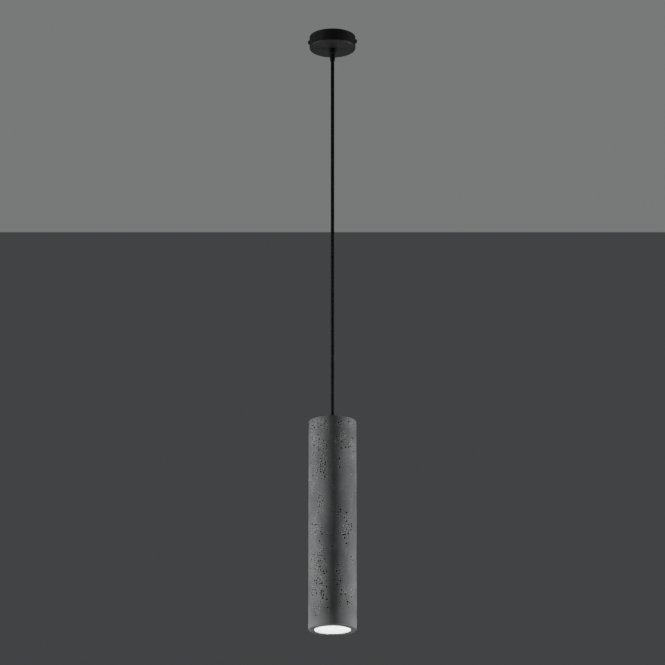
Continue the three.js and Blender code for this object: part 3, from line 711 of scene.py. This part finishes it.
def grained(name, colour, tint, rough, grains, bump, metallic=0.0, dust=0.0, along=None, **constants):
    """A finish with fine grain: colour drifts to tint and roughness from rough[0] to rough[1] in slow
    patches, the grain is a bump of the given depth in metres, and dust settles on what looks up."""
    made, tree, shader = material(name, metallic, **constants)
    place = place_on(tree, along)
    grain = group_node(tree, GRAIN, place, grains)
    shown = mixed(tree, grain.outputs["Patch"], colour, tint)
    roughness = remap(tree, grain.outputs["Patch"], 0, 1, *rough)
    if dust:
        mask = group_node(tree, DUST, place, dust).outputs["Mask"]
        shown = mixed(tree, mask, shown, DUST_COLOUR)
        roughness = maths(tree, "ADD", roughness, maths(tree, "MULTIPLY", mask, 0.4))
    tree.links.new(shown, shader.inputs["Base Color"])
    tree.links.new(roughness, shader.inputs["Roughness"])
    bumped(tree, shader, grain.outputs["Height"], 1.0, bump)
    return made


# %% [markdown]
# ## Cast concrete
# Concrete is cement paste with fine sand: cool grey, clouded by where the mix was wetter, with pale,
# slow vertical streaks of efflorescence where water ran down the mould. Its own colour is a middle grey.
# The pits get painted shade, because light hardly leaves them, and each pit's rim gets a painted
# highlight. The paste round a cluster of pits is paler. The last of the wall above the mouth is painted
# paler, as painted light from the lamp. Bubbles under a millimetre are too small for the mesh, so a cell
# pattern adds them to colour and bump: each cell's own random number sets how wide its pinhole is, and
# their dark colour is painted shade.

# %% Concrete finish
CEMENT = (0.255, 0.26, 0.265)
CEMENT_WET = (0.15, 0.155, 0.16)
# Pale streaks, and the painted light from the lamp above the mouth.
CEMENT_STREAK_AND_LIGHT = (0.34, 0.345, 0.345)
# Pale flecks and specks, and the painted highlight round each pit's rim.
CEMENT_FLECK_AND_HIGHLIGHT = (0.46, 0.465, 0.46)
# Painted shade in the pits and the pinholes.
PIT_PAINTED_SHADE = (0.015, 0.015, 0.016)
# How many grains of each pattern a metre holds.
CLOUDS, STREAKS, MOTTLES, FLECKS, PINHOLES, SANDS, SPECKS = 26, 60, 330, 800, 520, 1500, 3600
STREAK_STRETCH = 0.22
# Where the painted light from the lamp begins above the mouth, and where it is strongest.
MOUTH_LIGHT_FROM, MOUTH_LIGHT_FULL = 30 * MM, 6 * MM


def scaled(tree, value, factor):
    """The value times a number or another value."""
    return maths(tree, "MULTIPLY", value, factor)


def read_mask(tree, name):
    """One of the masks stored with the tube's grid."""
    node = tree.nodes.new("ShaderNodeAttribute")
    node.attribute_name = name
    return node.outputs["Fac"]


def paste_colour(tree, place, cloud, mottle, sand, speck):
    """Cement clouded by wetter mix, with pale streaks, fine sand, and painted lamp light near the mouth."""
    stretch = tree.nodes.new("ShaderNodeMapping")
    stretch.inputs["Scale"].default_value = (1, 1, STREAK_STRETCH)
    tree.links.new(place, stretch.inputs["Vector"])
    streaks = noise(tree, STREAKS, 4, stretch.outputs["Vector"]).outputs["Fac"]
    colour = mixed(tree, cloud, CEMENT, CEMENT_WET)
    colour = mixed(tree, scaled(tree, remap(tree, streaks, 0.45, 0.75), 0.55), colour, CEMENT_STREAK_AND_LIGHT)
    colour = mixed(tree, remap(tree, sand, 0.3, 0.7, 0.0, 0.4), colour, CEMENT_WET)
    colour = mixed(tree, remap(tree, mottle, 0.35, 0.65, 0.0, 0.45), colour, CEMENT_WET)
    colour = mixed(tree, remap(tree, speck, 0.6, 0.72, 0.0, 0.5), colour, CEMENT_FLECK_AND_HIGHLIGHT)
    height = tree.nodes.new("ShaderNodeSeparateXYZ")
    tree.links.new(place, height.inputs["Vector"])
    mouth = float(shade_low[2])
    # Painted light from the lamp: the wall is painted paler towards the mouth.
    painted_mouth_light = remap(tree, height.outputs["Z"], mouth + MOUTH_LIGHT_FROM, mouth + MOUTH_LIGHT_FULL, 0, 0.5)
    return mixed(tree, painted_mouth_light, colour, CEMENT_STREAK_AND_LIGHT)


def pinholes_in(tree, place, crowd):
    """A mask of bubbles too small for the mesh. Each cell's own random number sets its hole's radius, and
    holes are wider where the bubbles crowd."""
    cells = noise(tree, PINHOLES, 0, place, "ShaderNodeTexVoronoi")
    chance = tree.nodes.new("ShaderNodeSeparateXYZ")
    tree.links.new(cells.outputs["Color"], chance.inputs["Vector"])
    gate = remap(tree, crowd, 0.05, 0.5, 0.35, 1.0)
    reach = scaled(tree, remap(tree, chance.outputs["X"], 0.35, 1, 0, 0.3), gate)
    inside = maths(tree, "SUBTRACT", reach, cells.outputs["Distance"])
    return remap(tree, inside, -0.02, 0.03)


def concrete_finish():
    """Grey paste, flecked where pits crowd; painted rim highlights and painted shade in the mesh's pits and
    pinholes.
    """
    made, tree, shader = material("cast concrete", specular_ior_level=0.3)
    place = place_on(tree)
    pit, crowd = read_mask(tree, "pit"), read_mask(tree, "crowd")
    cloud = remap(tree, noise(tree, CLOUDS, 6, place).outputs["Fac"], 0.36, 0.68)
    mottle = noise(tree, MOTTLES, 3, place).outputs["Fac"]
    sand = noise(tree, SANDS, 3, place).outputs["Fac"]
    speck = noise(tree, SPECKS, 2, place).outputs["Fac"]
    colour = paste_colour(tree, place, cloud, mottle, sand, speck)
    fleck = remap(tree, noise(tree, FLECKS, 5, place).outputs["Fac"], 0.5, 0.66)
    colour = mixed(tree, scaled(tree, fleck, crowd), colour, CEMENT_FLECK_AND_HIGHLIGHT)
    # A pale ring round each pit's rim: a painted highlight.
    rim = scaled(tree, remap(tree, pit, 0.15, 0.48), remap(tree, mottle, 0.42, 0.58))
    colour = mixed(tree, rim, colour, CEMENT_FLECK_AND_HIGHLIGHT)
    pinhole = pinholes_in(tree, place, crowd)
    # Pinholes and pit bottoms are painted dark: painted shade in the holes.
    colour = mixed(tree, scaled(tree, pinhole, 0.9), colour, PIT_PAINTED_SHADE)
    colour = mixed(tree, remap(tree, pit, 0.5, 0.53), colour, PIT_PAINTED_SHADE)
    tree.links.new(colour, shader.inputs["Base Color"])
    tree.links.new(remap(tree, cloud, 0, 1, 0.72, 0.9), shader.inputs["Roughness"])
    grit = maths(tree, "ADD", scaled(tree, sand, 0.4), scaled(tree, speck, 0.25))
    bumped(tree, shader, maths(tree, "SUBTRACT", grit, pinhole), 0.8, 0.25 * MM)
    return made


# %% [markdown]
# ## The lamp's light
# The lamp's front glows evenly, because an optic spreads the light of its chips. The surface itself is
# the light source, so the bore round it and the rim are lit by it as on the real light.

# %% Glowing lens
GLOW = 75.0
OPTIC_CELLS = 260


def glow_finish():
    """An even white glow with a faint pattern of the optic's cells in its colour and bump."""
    made, tree, shader = material("lamp glow")
    shader.inputs["Emission Strength"].default_value = GLOW
    shader.inputs["Roughness"].default_value = 0.35
    cells = noise(tree, OPTIC_CELLS, 0, place_on(tree), "ShaderNodeTexVoronoi")
    shade_of = remap(tree, cells.outputs["Distance"], 0, 0.7)
    colour = mixed(tree, shade_of, (1.0, 0.99, 0.97), (0.93, 0.94, 0.96))
    tree.links.new(colour, shader.inputs["Base Color"])
    tree.links.new(colour, shader.inputs["Emission Color"])
    bumped(tree, shader, cells.outputs["Distance"], 0.5, 0.4 * MM)
    return made


# %% Earth wire
EARTH_GREEN = (0.07, 0.28, 0.05)
EARTH_YELLOW = (0.62, 0.52, 0.03)
STRIPE_SIDE = (0.75, -0.6, 0.28)


def earth_finish():
    """Green insulation with a yellow stripe down the side that faces STRIPE_SIDE."""
    made = grained("green and yellow insulation", EARTH_GREEN, EARTH_GREEN, (0.4, 0.5), 1500, 0.02 * MM)
    tree = made.node_tree
    facing = tree.nodes.new("ShaderNodeVectorMath")
    facing.operation = "DOT_PRODUCT"
    tree.links.new(tree.nodes.new("ShaderNodeNewGeometry").outputs["Normal"], facing.inputs[0])
    facing.inputs[1].default_value = STRIPE_SIDE
    stripe = remap(tree, facing.outputs["Value"], 0.3, 0.36)
    colour = mixed(tree, stripe, EARTH_GREEN, EARTH_YELLOW)
    tree.links.new(colour, tree.nodes["Principled BSDF"].inputs["Base Color"])
    return made


# %% Every finish by the record's slot
finishes = {
    "concrete": concrete_finish(),
    "lamp_glow": glow_finish(),
    "black_metal": grained(
        "black powder coat", (0.014, 0.0145, 0.015), (0.019, 0.0195, 0.02), (0.5, 0.62), 2600, 0.03 * MM,
        dust=0.12, specular_ior_level=0.5,
    ),
    "black_plastic": grained(
        "black moulded plastic", (0.010, 0.010, 0.011), (0.015, 0.015, 0.016), (0.38, 0.5), 1800, 0.03 * MM,
        dust=0.15,
    ),
    "cord_jacket": grained(
        "black cord jacket", (0.007, 0.007, 0.008), (0.010, 0.010, 0.010), (0.6, 0.7), 2500, 0.005 * MM,
        along="rest_place", specular_ior_level=0.3,
    ),
    "zinc_steel": grained(
        "zinc-plated steel", (0.52, 0.53, 0.54), (0.62, 0.61, 0.58), (0.25, 0.45), 700, 0.01 * MM,
        metallic=1.0, dust=0.25,
    ),
    "brass_contact": grained(
        "brass", (0.62, 0.43, 0.17), (0.5, 0.33, 0.13), (0.22, 0.4), 900, 0.01 * MM, metallic=1.0,
    ),
    "rubber_seal": grained(
        "black rubber", (0.012, 0.012, 0.012), (0.02, 0.02, 0.02), (0.75, 0.9), 1600, 0.05 * MM, dust=0.3,
    ),
    "clear_nylon": grained(
        "milky nylon", (0.72, 0.70, 0.63), (0.64, 0.62, 0.55), (0.35, 0.5), 900, 0.02 * MM, dust=0.3,
        subsurface_weight=0.2,
    ),
    "holder_ceramic": grained(
        "steatite ceramic", (0.80, 0.77, 0.70), (0.72, 0.69, 0.62), (0.45, 0.65), 2200, 0.04 * MM,
    ),
    "lamp_white": grained(
        "white lamp body", (0.82, 0.82, 0.80), (0.76, 0.76, 0.75), (0.3, 0.42), 1300, 0.01 * MM,
    ),
    "circuit_board": grained(
        "green solder mask", (0.03, 0.14, 0.06), (0.05, 0.2, 0.09), (0.3, 0.45), 1200, 0.02 * MM,
    ),
    "wire_brown": grained(
        "brown insulation", (0.12, 0.05, 0.02), (0.15, 0.065, 0.03), (0.4, 0.5), 1500, 0.02 * MM,
    ),
    "wire_blue": grained(
        "blue insulation", (0.025, 0.09, 0.38), (0.04, 0.12, 0.45), (0.4, 0.5), 1500, 0.02 * MM,
    ),
    "wire_green": earth_finish(),
}
slots = {part["node"]: part["material_slot"] for part in frame["record"]["subparts"]}
shown = 0
for piece in [o for o in bpy.data.objects if o.type == "MESH" and not o.hide_render]:
    slot_name = piece.get("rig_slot") or slots[piece["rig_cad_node"]]
    piece.data.materials.clear()
    piece.data.materials.append(finishes[slot_name])
    shown += 1
print(shown, "pieces finished with", len(finishes), "finishes")

# %% [markdown]
# ## The studio
# A pale floor well below, a little even light from the whole room, and two tall soft lights at the
# sides. Side lights draw a tube's roundness: both flanks are bright and the middle, which faces neither
# light, is dark. Four weaker lights, in front, below, behind and above, show the canopy's underside and
# the tops of things. The backdrop is only for the eye: the camera sees it, and it lights nothing.

# %% Floor
FLOOR_Z = -2.75
FLOOR_HALF = 40.0
# How much brighter the camera sees the floor than the lights make it.
FLOOR_LIFT = 0.29
corner = np.array([[-1, -1, 0], [1, -1, 0], [1, 1, 0], [-1, 1, 0]]) * [FLOOR_HALF, FLOOR_HALF, 1]
floor_mesh = bpy.data.meshes.new("floor")
floor_mesh.from_pydata((corner + [0, 0, FLOOR_Z]).tolist(), [], [(0, 1, 2, 3)])
floor = bpy.data.objects.new("floor", floor_mesh)
bpy.context.scene.collection.objects.link(floor)
floor_material, floor_tree, floor_shader = material("pale floor")
floor_shader.inputs["Base Color"].default_value = (0.62, 0.62, 0.62, 1)
floor_shader.inputs["Roughness"].default_value = 0.9
floor_seen = floor_tree.nodes.new("ShaderNodeLightPath").outputs["Is Camera Ray"]
floor_glow = remap(floor_tree, floor_seen, 0, 1, 0, FLOOR_LIFT)
floor_tree.links.new(floor_glow, floor_shader.inputs["Emission Strength"])
floor_shader.inputs["Emission Color"].default_value = (1, 1, 1, 1)
floor_mesh.materials.append(floor_material)
print("floor at", FLOOR_Z)

# %% Backdrop
AMBIENT = 0.05
# The backdrop that the camera sees: pale by the floor, a dark wall behind the shade, and a paler ceiling
# from a crisp level edge up. Each place is the slope at which the eye looks up to it. The slope is rise
# over run along AHEAD, which keeps the edge straight in the camera's view. Where a look turns aside by more
# than FACING allows, the run is taken as FACING of its own level length, so the backdrop goes all round.
PALE = (0.34, 0.34, 0.345)
WALL = (0.0627, 0.0640, 0.0652)
CEILING = (0.1885, 0.191, 0.1925)
WALL_FROM, WALL_TO = math.tan(math.radians(4)), math.tan(math.radians(11))
CEILING_EDGE = math.tan(math.radians(19.72))
EDGE_BLUR = 0.0003
AHEAD = (-math.sin(EYE_TURN), math.cos(EYE_TURN), 0)
FACING = 0.985
world = bpy.data.worlds.new("studio")
bpy.context.scene.world = world
world.use_nodes = True
world_tree = world.node_tree
background = world_tree.nodes["Background"]
looked = world_tree.nodes.new("ShaderNodeTexCoord").outputs["Generated"]
direction = world_tree.nodes.new("ShaderNodeSeparateXYZ")
world_tree.links.new(looked, direction.inputs["Vector"])
ahead = world_tree.nodes.new("ShaderNodeVectorMath")
ahead.operation = "DOT_PRODUCT"
world_tree.links.new(looked, ahead.inputs[0])
ahead.inputs[1].default_value = AHEAD
upward = direction.outputs["Z"]
upward_squared = maths(world_tree, "MULTIPLY", upward, upward)
level = maths(world_tree, "SQRT", maths(world_tree, "SUBTRACT", 1, upward_squared), 0)
run = maths(world_tree, "MAXIMUM", ahead.outputs["Value"], maths(world_tree, "MULTIPLY", level, FACING))
slope = maths(world_tree, "DIVIDE", upward, run)
wall = mixed(world_tree, remap(world_tree, slope, WALL_FROM, WALL_TO), PALE, WALL)
above_edge = remap(world_tree, slope, CEILING_EDGE, CEILING_EDGE + EDGE_BLUR)
backdrop = mixed(world_tree, above_edge, wall, CEILING)
is_seen = world_tree.nodes.new("ShaderNodeLightPath").outputs["Is Camera Ray"]
tone = mixed(world_tree, is_seen, (AMBIENT, AMBIENT, AMBIENT), backdrop)
world_tree.links.new(tone, background.inputs["Color"])
background.inputs["Strength"].default_value = 1
print("backdrop edge", round(math.degrees(math.atan(CEILING_EDGE)), 2), "degrees up")


# %% Soft lights
def soft_light(name, place, aim, size, power):
    """A rectangular area light at place, turned to face aim, that the camera doesn't see."""
    data = bpy.data.lights.new(name, "AREA")
    data.shape = "RECTANGLE"
    data.size, data.size_y = size
    data.energy = power
    light = bpy.data.objects.new(name, data)
    light.location = place
    direction = np.array(aim, float) - np.array(place, float)
    yaw = math.atan2(direction[1], direction[0]) - math.pi / 2
    pitch = math.atan2(direction[2], math.hypot(direction[0], direction[1]))
    light.rotation_euler = (math.pi / 2 + pitch, 0, yaw)
    light.visible_camera = False
    bpy.context.scene.collection.objects.link(light)
    return light


MIDDLE = (0, 0, -1.05)
LIGHT_REACH = 1.7
SIDE_TURN = math.radians(7)
SIDE_SIZE = (0.5, 1.4)
SIDE_POWER = 25.5
# Name, place, what it faces, size and watts.
WEAKER_LIGHTS = [
    ("low front fill", (0.8, -3.2, -2.2), (0, 0, -0.4), (1.2, 1.2), 1.5),
    ("light from below", (0.1, -0.3, -2.7), (0, 0, 0), (1.0, 1.0), 2),
    ("low light behind", (0.2, 2.2, -1.35), (0, 0, 0), (1.6, 1.0), 2),
    ("light from above", (-0.2, -0.4, 2.6), (0, 0, 0), (1.5, 1.5), 18),
]
for name, side in (("left soft light", -1), ("right soft light", 1)):
    place = (side * LIGHT_REACH * math.cos(SIDE_TURN), side * LIGHT_REACH * math.sin(SIDE_TURN), MIDDLE[2])
    soft_light(name, place, MIDDLE, SIDE_SIZE, SIDE_POWER)
for light in WEAKER_LIGHTS:
    soft_light(*light)
print("studio ready with", 2 + len(WEAKER_LIGHTS), "lights")
